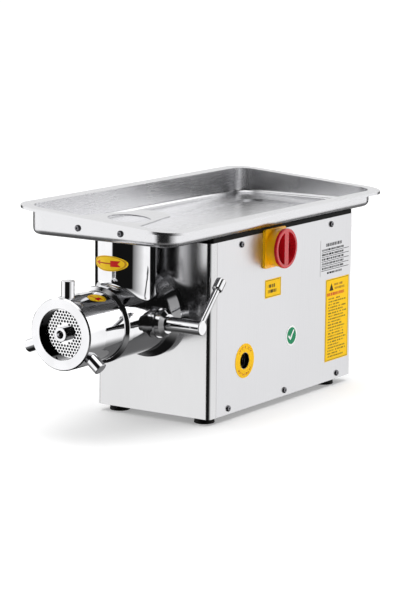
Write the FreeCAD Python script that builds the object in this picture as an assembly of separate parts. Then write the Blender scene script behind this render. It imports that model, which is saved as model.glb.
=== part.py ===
import FreeCAD, Part
import math
import os

from FreeCAD import Vector

# Electric meat grinder, number 22 size: a polished feed housing on the front of a
# sheet-metal gear and motor cabinet, with a loading tray on top.
#
# Working frame, millimetres: X to the right seen from the front, Y from the front
# towards the back, Z up, with the cabinet's front face at Y = 0 and the floor at Z = 0.
# Every piece is moved by ORIGIN_SHIFT as it is written, so that the origin lies on the
# floor under the middle of the whole machine.

# ---- driving dimensions -------------------------------------------------------------
BODY_HALF_WIDTH = 100.0
BODY_LENGTH = 406.0
BODY_BOTTOM = 10.0
BODY_TOP = 269.5
SHEET = 1.5
FIT_GAP = 0.1            # gap between sheet-metal pieces that lie on each other
RUNNING = 0.05           # radial clearance of a running fit
FRONT_RETURN = 18.0      # depth of the front shell's side returns

HEAD_X = -8.0            # the auger axis runs along Y through this X and Z
HEAD_Z = 159.0
COLUMN_Y = -58.0
COLUMN_R = 44.7
THROAT_R = 34.5
SLEEVE_R = 54.5
BARREL_R = 47.0
BARREL_BORE = 40.2
NUT_FRONT = -216.6
NUT_BACK = -177.4
NUT_R = 52.0
PLATE_R = 41.0
PLATE_FRONT = -205.6
PLATE_BACK = -194.6

LEVER_Y = -60.0          # the clamp lever's axis runs along X through this Y
LEVER_ARM_X = 120.5
LEVER_TILT = 43.5        # degrees, the arm's lean towards the back
LEVER_REACH = 74.8

TRAY_LEFT, TRAY_RIGHT = -165.7, 122.8
TRAY_FRONT, TRAY_BACK = -129.5, 486.0
TRAY_LIP = 17.0
TRAY_BOTTOM = 276.0
TRAY_SHEET = 1.5
RIM_LEFT, RIM_RIGHT = 320.0, 300.0
TRAY_CORNER = 28.0

SWITCH_Y, SWITCH_Z = 171.0, 244.5
SIGHT_Y, SIGHT_Z = 94.7, 83.3

GEAR_MODULE = 2.0
PRESSURE_ANGLE = math.radians(20.0)
MOTOR_TEETH, LAY_TEETH = 18, 54
PINION_TEETH, OUTPUT_TEETH = 20, 52
SHAFT_SPACING = GEAR_MODULE * (MOTOR_TEETH + LAY_TEETH) / 2
LAY_Z = HEAD_Z - SHAFT_SPACING
BACKLASH = 0.24

ORIGIN_SHIFT = Vector(18.7, -134.5, 0.0)

X_AXIS, Y_AXIS, Z_AXIS = Vector(1, 0, 0), Vector(0, 1, 0), Vector(0, 0, 1)
HEAD = Vector(HEAD_X, 0, HEAD_Z)
LAY = Vector(HEAD_X, 0, LAY_Z)
pieces = {}


# ---- shapes -------------------------------------------------------------------------
def box(x0, x1, y0, y1, z0, z1):
    return Part.makeBox(x1 - x0, y1 - y0, z1 - z0, Vector(x0, y0, z0))


def rod(start, direction, radius, length):
    return Part.makeCylinder(radius, length, start, direction)


def ring(start, direction, outer, inner, length):
    return rod(start, direction, outer, length).cut(rod(start, direction, inner, length))


def along_y(centre, y0, y1, radius):
    return rod(Vector(centre.x, y0, centre.z), Y_AXIS, radius, y1 - y0)


def sleeve_y(centre, y0, y1, outer, inner):
    return ring(Vector(centre.x, y0, centre.z), Y_AXIS, outer, inner, y1 - y0)


def turned(points, centre=HEAD):
    """Solid of revolution about the line along Y through centre, from (radius, y) points."""
    corners = [Vector(centre.x + r, y, centre.z) for r, y in points]
    face = Part.Face(Part.makePolygon(corners + corners[:1]))
    return face.revolve(centre, Y_AXIS, 360)


def rounded_plan(x0, x1, y0, y1, radius, z0, z1):
    """Upright prism on a rectangle with rounded corners."""
    prism = box(x0, x1, y0, y1, z0, z1)
    return prism.makeFillet(radius, [e for e in prism.Edges if is_upright(e)])


def is_upright(edge):
    direction = edge.tangentAt(edge.FirstParameter)
    return abs(direction.z) > 0.999


def fused(solids):
    return solids[0].multiFuse(solids[1:]).removeSplitter()


def cut_all(shape, tools):
    for tool in tools:
        shape = shape.cut(tool)
    return shape


def add(name, *solids):
    pieces[name] = solids[0] if len(solids) == 1 else Part.makeCompound(list(solids))


def button_screw(point, direction, shank_r=2.5, head_r=4.8, head=2.8, length=9.0):
    """Button-head screw whose head sits on point and whose shank runs along direction."""
    shank = rod(point, direction, shank_r, length)
    dome = rod(point - direction * head, direction, head_r, head)
    outer_rim = min(dome.Edges, key=lambda e: (e.CenterOfMass - point).dot(direction))
    dome = dome.makeFillet(head * 0.8, [outer_rim])
    socket = rod(point - direction * head, direction, shank_r * 0.6, head * 0.6)
    return dome.cut(socket).fuse(shank)


# ---- cabinet ------------------------------------------------------------------------
def side_screw_points(side):
    """Heads of the side-panel screws: two along the top and three along the bottom."""
    top = [(83.0, 259.3), (342.0, 259.3)]
    bottom = [(51.0, 18.8), (208.8, 18.8), (366.5, 18.8)]
    return [Vector(side * BODY_HALF_WIDTH, y, z) for y, z in top + bottom]


def stud_points():
    """Four studs that hold the feed housing to the gearbox."""
    radius = 57.5
    angles = [math.radians(45 + 90 * i) for i in range(4)]
    return [HEAD + Vector(radius * math.cos(a), 0, radius * math.sin(a)) for a in angles]


def foot_points():
    return [Vector(side * x, y, 0) for side in (-1, 1) for x, y in ((76.0, 24.0), (78.0, 364.0))]


def make_cabinet():
    half, top, bottom = BODY_HALF_WIDTH, BODY_TOP, BODY_BOTTOM
    bend = 7.0
    depth = 60.0
    outer = rounded_plan(-half, half, 0, depth, bend, bottom, top)
    inner = rounded_plan(-half + SHEET, half - SHEET, SHEET, depth, bend - SHEET,
                         bottom, top)
    front = outer.cut(inner).common(box(-half, half, 0, FRONT_RETURN, bottom, top))
    front = front.cut(along_y(HEAD, -1, 3, 24.0))
    front = cut_all(front, [along_y(p, -1, 3, 4.1) for p in stud_points()])
    add("front_shell", front)

    flange_x = half - SHEET - FIT_GAP
    plan = rounded_plan(-flange_x, flange_x, SHEET + FIT_GAP, BODY_LENGTH + 40, bend - SHEET,
                        bottom, top)
    back = BODY_LENGTH - SHEET - FIT_GAP
    roof = plan.common(box(-half, half, 0, back, top - SHEET, top))
    roof_flanges = [box(min(s * flange_x, s * (flange_x - SHEET)),
                        max(s * flange_x, s * (flange_x - SHEET)),
                        20, 388, 250, top - SHEET) for s in (-1, 1)]
    floor = plan.common(box(-half, half, 0, back, bottom, bottom + SHEET))
    floor_flanges = [box(min(s * flange_x, s * (flange_x - SHEET)),
                         max(s * flange_x, s * (flange_x - SHEET)),
                         20, 388, bottom + SHEET, 30) for s in (-1, 1)]
    roof_flanges.append(box(-94, 94, BODY_LENGTH - 3.1, BODY_LENGTH - 1.6, 246, top - SHEET))
    floor_flanges.append(box(-94, 94, BODY_LENGTH - 3.1, BODY_LENGTH - 1.6, bottom + SHEET, 30))
    switch_room = box(60, half, SWITCH_Y - 26, SWITCH_Y + 26, 200, top - SHEET)
    shank_r = 2.5
    shanks = [rod(p + X_AXIS * -12 * s, X_AXIS * s, shank_r, 14)
              for s in (-1, 1) for p in side_screw_points(s)]
    foot_holes = [rod(p, Z_AXIS, 3.0, 20) for p in foot_points()]
    rear_points = [Vector(x, BODY_LENGTH, z) for x in (-86.0, 86.0) for z in (21.0, 256.0)]
    shanks += [rod(p - Y_AXIS * 12, Y_AXIS, shank_r, 14) for p in rear_points]
    add("top_panel", cut_all(fused([roof] + roof_flanges), shanks + [switch_room]))
    add("base_plate", cut_all(fused([floor] + floor_flanges), shanks + foot_holes))

    panel_inner = half - SHEET + FIT_GAP
    for side, name in ((1, "right_side_panel"), (-1, "left_side_panel")):
        panel = box(min(side * panel_inner, side * half), max(side * panel_inner, side * half),
                    FRONT_RETURN + 0.4, BODY_LENGTH, bottom, top)
        panel = cut_all(panel, shanks)
        if side > 0:
            panel = panel.cut(rod(Vector(half - 5, SIGHT_Y, SIGHT_Z), X_AXIS, 12.3, 10))
            panel = panel.cut(rod(Vector(half - 5, SWITCH_Y, SWITCH_Z), X_AXIS, 8.3, 10))
        add(name, panel)

    rear_x = flange_x - 0.2
    rear = box(-rear_x, rear_x, BODY_LENGTH - SHEET, BODY_LENGTH, bottom + SHEET + FIT_GAP,
               top - SHEET - FIT_GAP)
    rear_flanges = [box(min(s * rear_x, s * (rear_x - SHEET)), max(s * rear_x, s * (rear_x - SHEET)),
                        390, BODY_LENGTH - SHEET, 32, 244) for s in (-1, 1)]
    slot_half, slot_height, slot_pitch, slot_count = 26.0, 4.0, 11.0, 9
    slots = []
    for i in range(slot_count):
        z = 120 + i * slot_pitch
        for x in (-40.0, 40.0):
            slots.append(rounded_slot(x, slot_half, z, slot_height))
    rear = cut_all(fused([rear] + rear_flanges), slots)
    rear = rear.cut(rod(gland_point() - Y_AXIS * 5, Y_AXIS, 10.0, 10))
    add("rear_panel", cut_all(rear, shanks))

    screws = [button_screw(p, X_AXIS * -s) for s in (-1, 1) for p in side_screw_points(s)]
    screws += [button_screw(p, Y_AXIS * -1) for p in rear_points]
    add("panel_screws", *screws)


def rounded_slot(x, half, z, height):
    """Cutter for a rear ventilation slot with round ends."""
    y0 = BODY_LENGTH - 5
    middle = box(x - half, x + half, y0, y0 + 10, z - height / 2, z + height / 2)
    ends = [rod(Vector(x + s * half, y0, z), Y_AXIS, height / 2, 10) for s in (-1, 1)]
    return fused([middle] + ends)


def gland_point():
    return Vector(60.0, BODY_LENGTH, 45.0)


def make_gland():
    """Cable inlet: a threaded body with a hexagon and a domed nut, open for a mains lead."""
    p = gland_point()
    lead_r = 4.5
    hexagon = hex_prism(p, Y_AXIS, 13.0, 5.0)
    body = rod(p - Y_AXIS * 9, Y_AXIS, 9.9, 9)
    dome = Part.makeCone(12.0, 8.5, 14.0, p + Y_AXIS * 5, Y_AXIS)
    whole = fused([hexagon, body, dome])
    lock_nut = hex_prism(p - Y_AXIS * 8, Y_AXIS, 13.0, 5.0)
    lock_nut = lock_nut.cut(rod(p - Y_AXIS * 9, Y_AXIS, 9.9, 9))
    add("cable_gland", whole.cut(rod(p - Y_AXIS * 10, Y_AXIS, lead_r, 40)), lock_nut)


def hex_prism(base, direction, radius, height):
    """Hexagonal prism whose corners lie on radius, standing on base along direction."""
    side = X_AXIS if abs(direction.x) < 0.5 else Y_AXIS
    other = direction.cross(side)
    corners = [base + side * (radius * math.cos(math.radians(60 * i)))
               + other * (radius * math.sin(math.radians(60 * i))) for i in range(6)]
    return Part.Face(Part.makePolygon(corners + corners[:1])).extrude(direction * height)


def make_feet():
    foot_r, shank_r, head_r = 15.5, 3.0, 5.5
    feet, screws = [], []
    for p in foot_points():
        blank = Part.makeCone(foot_r, foot_r - 1.5, BODY_BOTTOM, p, Z_AXIS)
        ground_rim = [e for e in blank.Edges if abs(e.CenterOfMass.z) < 0.01]
        blank = blank.makeFillet(1.0, ground_rim)
        recess = rod(p, Z_AXIS, head_r + 0.3, 5.0)
        feet.append(blank.cut(recess).cut(rod(p, Z_AXIS, shank_r, BODY_BOTTOM)))
        head = rod(p + Z_AXIS * 2.0, Z_AXIS, head_r, 3.0)
        nut = hex_prism(p + Z_AXIS * (BODY_BOTTOM + SHEET), Z_AXIS, 5.8, 5.0)
        screws.append(fused([head, rod(p + Z_AXIS * 2.0, Z_AXIS, shank_r, 17.0), nut]))
    add("feet", *feet)
    add("foot_screws", *screws)


def make_switch():
    """Rotary isolator: square plate, round collar, knob with a grip bar, shaft and block."""
    half, plate_x = 29.5, BODY_HALF_WIDTH + 4.2
    centre = Vector(0, SWITCH_Y, SWITCH_Z)
    plate = box(BODY_HALF_WIDTH, plate_x, SWITCH_Y - half, SWITCH_Y + half,
                SWITCH_Z - half, SWITCH_Z + half)
    along_x = [e for e in plate.Edges if abs(e.tangentAt(e.FirstParameter).x) > 0.999]
    plate = plate.makeFillet(4.0, along_x)
    shaft_r = 6.0
    bore_r = shaft_r + RUNNING * 2
    add("switch_plate", plate.cut(rod(centre + X_AXIS * 90, X_AXIS, bore_r, 20)))
    collar_x, knob_back, knob_front = 119.6, 120.0, 124.6
    cup_back, floor_x, cup_r = 109.8, 111.6, 27.0
    collar = rod(centre + X_AXIS * plate_x, X_AXIS, 28.5, collar_x - plate_x)
    collar = collar.cut(rod(centre + X_AXIS * (cup_back - 0.5), X_AXIS, cup_r + 0.4, 20))
    add("switch_collar", collar.cut(rod(centre + X_AXIS * plate_x, X_AXIS, bore_r, 20)))

    knob_r, recess_r = 30.0, 25.0
    knob = rod(centre + X_AXIS * knob_back, X_AXIS, knob_r, knob_front - knob_back)
    rims = [e for e in knob.Edges if e.Length > 50 and abs(e.CenterOfMass.x - knob_front) < 0.1]
    knob = knob.makeFillet(1.5, rims)
    knob = knob.fuse(rod(centre + X_AXIS * cup_back, X_AXIS, cup_r, 12))
    knob = knob.cut(rod(centre + X_AXIS * floor_x, X_AXIS, recess_r, 20))
    grip_half = 5.5
    bar = box(cup_back, knob_front - 0.8, SWITCH_Y - grip_half, SWITCH_Y + grip_half,
              SWITCH_Z - recess_r - 0.5, SWITCH_Z + recess_r + 0.5)
    add("switch_knob", fused([knob, bar]))
    add("switch_shaft", rod(centre + X_AXIS * 78, X_AXIS, shaft_r, cup_back - 78))
    block = box(62, panel_back() - 0.3, SWITCH_Y - 22, SWITCH_Y + 22, SWITCH_Z - 22, SWITCH_Z + 22)
    add("switch_contact_block", block.cut(rod(centre + X_AXIS * 77, X_AXIS, bore_r, 40)))


def panel_back():
    return BODY_HALF_WIDTH - SHEET + FIT_GAP


def make_labels():
    film = 0.3
    x0, x1 = BODY_HALF_WIDTH, BODY_HALF_WIDTH + film
    add("caution_labels", box(x0, x1, 149.3, 194.7, 168.5, 196.5),
        box(x0, x1, 329.0, 399.8, 41.5, 172.5))
    add("rating_label", box(x0, x1, 311.0, 401.0, 180.0, 236.0))
    add("oil_label", ring(Vector(x0, SIGHT_Y, SIGHT_Z), X_AXIS, 26.0, 12.6, film))
    add("mark_label", rod(Vector(x0, 227.5, 100.5), X_AXIS, 15.5, film))
    oval = Part.Ellipse(Vector(0, 0, 0), 28.5, 11.3)
    face = Part.Face(Part.Wire(oval.toShape()))
    face.rotate(Vector(0, 0, 0), X_AXIS, 90)
    face.translate(Vector(HEAD_X, -150, 244.8))
    skin = ring(Vector(HEAD_X, COLUMN_Y, 200), Z_AXIS, COLUMN_R + film, COLUMN_R, 76)
    add("flow_label", face.extrude(Y_AXIS * (150 + COLUMN_Y)).common(skin))


# ---- grinding head ------------------------------------------------------------------
def make_feed_housing():
    bore = BARREL_R + RUNNING
    profile = [(bore, -130.0), (50.8, -130.0), (55.2, -126.4), (55.6, -125.4),
               (55.6, -117.0), (SLEEVE_R, -116.4), (SLEEVE_R, -24.0),
               (55.0, -22.0), (64.0, -10.0), (65.0, -9.0), (65.0, 0.0),
               (22.0, 0.0), (22.0, -4.0), (bore, -4.0)]
    sleeve = turned(profile)
    top = TRAY_BOTTOM - 0.1
    foot = Vector(HEAD_X, COLUMN_Y, HEAD_Z)
    column = rod(foot, Z_AXIS, COLUMN_R, top - HEAD_Z)
    spigot = rod(foot, Z_AXIS, 37.5, TRAY_BOTTOM + 4.0 - HEAD_Z)
    boss_profile = [(0, 30), (22.5, 30), (22.5, 55), (21.5, 56), (20.0, 56), (20.0, 64),
                    (14.0, 69), (0, 69)]
    corners = [Vector(x, LEVER_Y + r, HEAD_Z) for r, x in boss_profile]
    boss = Part.Face(Part.makePolygon(corners + corners[:1]))
    boss = boss.revolve(Vector(0, LEVER_Y, HEAD_Z), X_AXIS, 360)
    core = along_y(HEAD, -116.4, 0, SLEEVE_R).fuse(column)
    saddle = [e for e in core.Edges if e.BoundBox.YLength > 20 and e.Length > 60
              and 160 < e.CenterOfMass.z < SLEEVE_R + HEAD_Z]
    core = core.makeFillet(9.0, saddle)
    body = fused([core, sleeve, spigot, boss])
    body = body.cut(along_y(HEAD, -140, -4, bore)).cut(along_y(HEAD, -5, 1, 22.0))
    body = body.cut(rod(foot, Z_AXIS, THROAT_R, 200))
    body = body.cut(rod(Vector(30, LEVER_Y, HEAD_Z), X_AXIS, 8.6, 60))
    stud_depth = 9.0
    body = cut_all(body, [along_y(p, -stud_depth, 1, 4.0) for p in stud_points()])
    add("feed_housing", body)
    studs = [fused([along_y(p, -stud_depth, 16, 4.0),
                    hex_prism(Vector(p.x, 8.0, p.z), Y_AXIS, 7.2, 6.0)]) for p in stud_points()]
    add("housing_studs", *studs)


def make_barrel():
    profile = [(BARREL_BORE, -14.0), (BARREL_BORE, PLATE_BACK), (PLATE_R + RUNNING, PLATE_BACK),
               (PLATE_R + RUNNING, -203.0), (46.3, -203.0), (47.3, -202.0), (47.3, -177.0),
               (49.8, -177.0), (50.6, -176.2), (50.6, -130.1), (BARREL_R, -130.1),
               (BARREL_R, -6.0), (46.0, -5.0), (20.0, -5.0), (20.0, -14.0)]
    barrel = turned(profile)
    opening = rod(Vector(HEAD_X, COLUMN_Y, HEAD_Z), Z_AXIS, THROAT_R - 0.5, 60)
    key_at = Vector(HEAD_X, -203.0, HEAD_Z - PLATE_R)
    key = rod(key_at, Y_AXIS, 2.5, PLATE_BACK + 203.0)
    add("barrel", barrel.cut(opening).cut(key))
    add("plate_key", key)
    add("barrel_bush", sleeve_y(HEAD, -14.0, -5.0, 20.0, 16.0 + RUNNING))


def make_ring_nut():
    thread_r = 47.3 + RUNNING
    opening_r = 36.2
    profile = [(opening_r + 0.6, NUT_FRONT), (NUT_R - 1.8, NUT_FRONT), (NUT_R, NUT_FRONT + 2.0),
               (NUT_R, NUT_BACK - 0.8), (NUT_R - 0.8, NUT_BACK), (thread_r, NUT_BACK),
               (thread_r, PLATE_FRONT - 0.05), (opening_r, PLATE_FRONT - 0.05),
               (opening_r, NUT_FRONT + 0.6)]
    nut = turned(profile)
    lugs = []
    lug_y, lug_r, lug_start = -199.0, 9.5, 49.0
    for angle, reach in ((89.5, 74.5), (201.0, 74.0), (321.5, 73.5)):
        a = math.radians(angle)
        out = Vector(math.cos(a), 0, math.sin(a))
        start = Vector(HEAD_X, lug_y, HEAD_Z) + out * lug_start
        lug = rod(start, out, lug_r, reach - lug_start)
        tip = [e for e in lug.Edges
               if (e.CenterOfMass - start).dot(out) > reach - lug_start - 1 and e.Length > 40]
        lugs.append(lug.makeFillet(1.0, tip))
    add("ring_nut", cut_all(nut, lugs))
    add("ring_nut_lugs", *lugs)


def make_hole_plate():
    stud_r, pitch, hole_r, rim = 10.5, 5.0, 1.85, 35.0
    centre = Vector(HEAD_X, PLATE_FRONT, HEAD_Z)
    wires = [circle_wire(centre, PLATE_R), circle_wire(centre, stud_r + 0.1)]
    rows = int(rim / pitch) + 2
    for row in range(-rows, rows + 1):
        for column in range(-rows, rows + 1):
            x = (column + 0.5 * (row % 2)) * pitch
            z = row * pitch * math.sqrt(3) / 2
            distance = math.hypot(x, z)
            if 14.0 < distance < rim - hole_r:
                wires.append(circle_wire(centre + Vector(x, 0, z), hole_r))
    face = Part.makeFace(wires, "Part::FaceMakerBullseye")
    plate = face.extrude(Y_AXIS * (PLATE_BACK - PLATE_FRONT))
    notch = along_y(Vector(HEAD_X, 0, HEAD_Z - PLATE_R), PLATE_FRONT, PLATE_BACK, 2.6)
    add("hole_plate", plate.cut(notch))


def circle_wire(centre, radius):
    return Part.Wire(Part.makeCircle(radius, centre, Y_AXIS))


def make_flight(root_r, tip_r, pitch, y0, y1):
    """Helical blade of the auger, thicker at the core than at the edge."""
    root_half, tip_half = 4.0, 1.6
    path = Part.makeHelix(pitch, y1 - y0 - 2 * root_half, tip_r)
    corners = [Vector(root_r, 0, -root_half), Vector(tip_r, 0, -tip_half),
               Vector(tip_r, 0, tip_half), Vector(root_r, 0, root_half)]
    pipe = Part.BRepOffsetAPI.MakePipeShell(Part.Wire(path))
    pipe.setBiNormalMode(Z_AXIS)
    pipe.add(Part.makePolygon(corners + corners[:1]))
    pipe.build()
    pipe.makeSolid()
    blade = pipe.shape()
    blade.rotate(Vector(0, 0, 0), X_AXIS, -90)
    blade.translate(Vector(HEAD_X, y0 + root_half, HEAD_Z))
    return blade


def make_auger():
    square, hub_front, hub_back = 21.3, PLATE_BACK + 0.1, -186.5
    flight_front, flight_back = -186.0, -22.0
    core = turned([(0, flight_front), (17.0, flight_front), (20.0, -24.0), (20.0, -16.0),
                   (16.0, -16.0), (16.0, -4.0), (0, -4.0)])
    tang = box(HEAD_X - 6, HEAD_X + 6, -4.0, 9.0, HEAD_Z - 14, HEAD_Z + 14)
    drive = box(HEAD_X - square / 2, HEAD_X + square / 2, hub_front + 0.1, flight_front,
                HEAD_Z - square / 2, HEAD_Z + square / 2)
    stud_r, shank_r, stud_front, stud_back = 10.5, 6.0, -217.0, -170.0
    body = core.fuse(drive).fuse(tang).cut(along_y(HEAD, -220, stud_back, shank_r))
    body = body.fuse(make_flight(13.0, 39.0, 42.0, flight_front + 0.5, flight_back))
    add("auger", body)
    stud = along_y(HEAD, stud_front, hub_front + 0.1, stud_r)
    nose = [e for e in stud.Edges if e.Length > 40 and abs(e.CenterOfMass.y - stud_front) < 0.1]
    stud = stud.makeFillet(0.8, nose).cut(along_y(HEAD, -220, -207.0, 6.0))
    add("auger_stud", stud.fuse(along_y(HEAD, hub_front + 0.1, stud_back, shank_r)))

    hub = along_y(HEAD, hub_front, hub_back, 18.0)
    arms = []
    for i in range(4):
        a = math.radians(45 + 90 * i)
        lead, trail = math.radians(9), math.radians(20)
        points = [(12, a - trail), (39.0, a - lead), (39.0, a + lead), (12, a + trail)]
        corners = [Vector(HEAD_X + r * math.cos(t), hub_front, HEAD_Z + r * math.sin(t))
                   for r, t in points]
        arms.append(Part.Face(Part.makePolygon(corners + corners[:1])).extrude(Y_AXIS * 8.0))
    hole = box(HEAD_X - square / 2 - RUNNING, HEAD_X + square / 2 + RUNNING, -200, -180,
               HEAD_Z - square / 2 - RUNNING, HEAD_Z + square / 2 + RUNNING)
    add("knife", fused([hub] + arms).cut(hole))


def make_lever():
    """Clamp pad, screw with its long hub, and the handle that goes through the hub."""
    bore = 8.6
    pad_x = HEAD_X + BARREL_R + 0.1
    axis_point = Vector(0, LEVER_Y, HEAD_Z)
    add("clamp_pad", rod(axis_point + X_AXIS * pad_x, X_AXIS, 7.0, 5.0))
    screw = rod(axis_point + X_AXIS * (pad_x + 5.05), X_AXIS, bore - RUNNING, 35)
    hub = rod(axis_point + X_AXIS * 70.0, X_AXIS, 10.8, 57.0)
    hub = hub.makeFillet(1.5, [e for e in hub.Edges if abs(e.CenterOfMass.x - 127) < 0.1])
    tilt = math.radians(LEVER_TILT)
    up = Vector(0, math.sin(tilt), math.cos(tilt))
    arm_r, knob_r, knob_half = 4.9, 7.75, 10.0
    base = Vector(LEVER_ARM_X, LEVER_Y, HEAD_Z)
    arm = rod(base - up * 8.0, up, arm_r, LEVER_REACH + 8.0)
    knob = rod(base + up * (LEVER_REACH - knob_half), up, knob_r, knob_half * 2)
    knob = knob.makeFillet(3.2, [e for e in knob.Edges if e.Length > 40])
    add("clamp_screw", fused([screw, hub]).cut(arm))
    add("lever_knob", knob.cut(arm))
    add("lever_arm", arm)


# ---- loading tray -------------------------------------------------------------------
def rim_height(x):
    """Height of the rim's upper face: it falls from the left side to the right."""
    share = (x - TRAY_LEFT) / (TRAY_RIGHT - TRAY_LEFT)
    return RIM_LEFT + share * (RIM_RIGHT - RIM_LEFT)


def rim_slab(below_top, thickness):
    """Slab parallel to the rim, its upper face below_top under the rim's upper face."""
    ends = (TRAY_LEFT - 20, TRAY_RIGHT + 20)
    upper = [Vector(x, TRAY_FRONT - 20, rim_height(x) - below_top) for x in ends]
    lower = [v - Z_AXIS * thickness for v in reversed(upper)]
    corners = upper + lower
    face = Part.Face(Part.makePolygon(corners + corners[:1]))
    return face.extrude(Y_AXIS * (TRAY_BACK - TRAY_FRONT + 40))


def tray_block(inset, z0, edge_radius):
    """The tray's pan, inset from its outside, with a rounded bottom edge."""
    wall = TRAY_LIP + inset
    block = rounded_plan(TRAY_LEFT + wall, TRAY_RIGHT - wall, TRAY_FRONT + wall,
                         TRAY_BACK - wall, TRAY_CORNER - inset, z0, 340)
    bottom = [e for e in block.Edges if abs(e.BoundBox.ZMax - z0) < 0.01]
    return block.makeFillet(edge_radius, bottom)


def make_tray():
    radius = 9.0
    outer = tray_block(0, TRAY_BOTTOM, radius)
    inner = tray_block(TRAY_SHEET, TRAY_BOTTOM + TRAY_SHEET, radius - TRAY_SHEET)
    pan = outer.cut(rim_slab(-100, 100))
    lip = rounded_plan(TRAY_LEFT, TRAY_RIGHT, TRAY_FRONT, TRAY_BACK,
                       TRAY_CORNER + TRAY_LIP - 3, 280, 340)
    hem = 1.5
    inside = rounded_plan(TRAY_LEFT + hem, TRAY_RIGHT - hem, TRAY_FRONT + hem, TRAY_BACK - hem,
                          TRAY_CORNER + TRAY_LIP - 3 - hem, 280, 340)
    edge = lip.cut(inside).common(rim_slab(0, TRAY_SHEET + 2.5))
    lip = lip.common(rim_slab(0, TRAY_SHEET)).fuse(edge)
    sink_depth = 2.5
    sink = rounded_plan(-92, 60, 5, 410, 30, TRAY_BOTTOM - sink_depth, TRAY_BOTTOM + 1)
    hollow = rounded_plan(-90.5, 58.5, 6.5, 408.5, 28.5,
                          TRAY_BOTTOM - sink_depth + TRAY_SHEET, TRAY_BOTTOM + 5)
    hole = rod(Vector(HEAD_X, COLUMN_Y, TRAY_BOTTOM - 5), Z_AXIS, 38.0, 10)
    screw_holes = [rod(p - Y_AXIS * 5, Y_AXIS, 3.0, 20) for p in guard_screw_points()]
    tray = cut_all(fused([pan, lip, sink]), [inner, hollow, hole] + screw_holes)
    add("tray", tray)
    seat_top = TRAY_BOTTOM - 0.1
    add("tray_seat_strips", box(64.0, 99.6, 8.0, 405.0, BODY_TOP, seat_top),
        box(-99.6, -94.0, 8.0, 405.0, BODY_TOP, seat_top))


def guard_screw_points():
    front = TRAY_FRONT + TRAY_LIP
    return [Vector(-54.0, front, 292.8), Vector(20.5, front, 291.1)]


def make_feed_guard():
    """Plate with a round feed hole just under the rim, on a flange at the front wall."""
    inside = TRAY_FRONT + TRAY_LIP + TRAY_SHEET
    sheet, guard_x, end_y, end_r = 2.0, -6.0, 0.0, 29.0
    front_left, front_right, hole_x, hole_y = -66.0, 43.0, -5.0, -55.0
    corners = [Vector(front_left, inside, 270), Vector(front_right, inside, 270),
               Vector(guard_x + end_r, end_y, 270), Vector(guard_x - end_r, end_y, 270)]
    outline = Part.Face(Part.makePolygon(corners + corners[:1])).extrude(Z_AXIS * 60)
    round_end = rod(Vector(guard_x, end_y, 270), Z_AXIS, end_r, 60)
    plate = fused([outline, round_end]).common(rim_slab(4.0, sheet))
    plate = plate.cut(rod(Vector(hole_x, hole_y, 270), Z_AXIS, 31.2, 60))
    flange = box(front_left, front_right, inside, inside + sheet, 287.5, 330)
    flange = flange.cut(rim_slab(-96.0, 100.0))
    screw_holes = [rod(p - Y_AXIS * 5, Y_AXIS, 3.0, 20) for p in guard_screw_points()]
    add("feed_guard", cut_all(fused([plate, flange]), screw_holes))
    screws = []
    for p in guard_screw_points():
        screw = button_screw(p, Y_AXIS, 3.0, 4.9, 2.8, 11.0)
        nut = hex_prism(p + Y_AXIS * (TRAY_SHEET + sheet), Y_AXIS, 5.8, 5.0)
        screws.append(screw.fuse(nut))
    add("guard_screws", *screws)


# ---- gearbox ------------------------------------------------------------------------
def involute(angle):
    return math.tan(angle) - angle


def gear(teeth, centre, y0, y1, bore, first_tooth):
    """Spur gear along Y: first_tooth is the angle, in degrees, of one tooth's middle."""
    pitch_r = GEAR_MODULE * teeth / 2
    base_r = pitch_r * math.cos(PRESSURE_ANGLE)
    tip_r, root_r = pitch_r + GEAR_MODULE, pitch_r - 1.25 * GEAR_MODULE
    half_at_pitch = math.pi / (2 * teeth) - BACKLASH / (2 * pitch_r)
    steps = 5
    start_r = max(base_r, root_r)
    flank = [(root_r, half_at_pitch + involute(PRESSURE_ANGLE))] if root_r < base_r else []
    for i in range(steps):
        r = start_r + (tip_r - 0.05 - start_r) * i / (steps - 1)
        turn = involute(math.acos(min(1.0, base_r / r)))
        flank.append((r, half_at_pitch + involute(PRESSURE_ANGLE) - turn))
    corners = []
    for tooth in range(teeth):
        middle = math.radians(first_tooth) + 2 * math.pi * tooth / teeth
        outline = [(r, middle - a) for r, a in flank] + [(r, middle + a) for r, a in reversed(flank)]
        corners += [Vector(centre.x + r * math.cos(t), y0, centre.z + r * math.sin(t))
                    for r, t in outline]
    blank = Part.Face(Part.makePolygon(corners + corners[:1])).extrude(Y_AXIS * (y1 - y0))
    return blank.cut(along_y(centre, y0 - 1, y1 + 1, bore)) if bore else blank


CASE_HALF, CASE_WALL = 66.0, 6.0
CASE_FRONT, CASE_BACK = SHEET, 126.0
CASE_BOTTOM, CASE_TOP = 20.0, 223.0
OUTPUT_R, LAY_R, MOTOR_SHAFT_R = 17.5, 12.0, 12.0
MOTOR_BACK = 306.0


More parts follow.
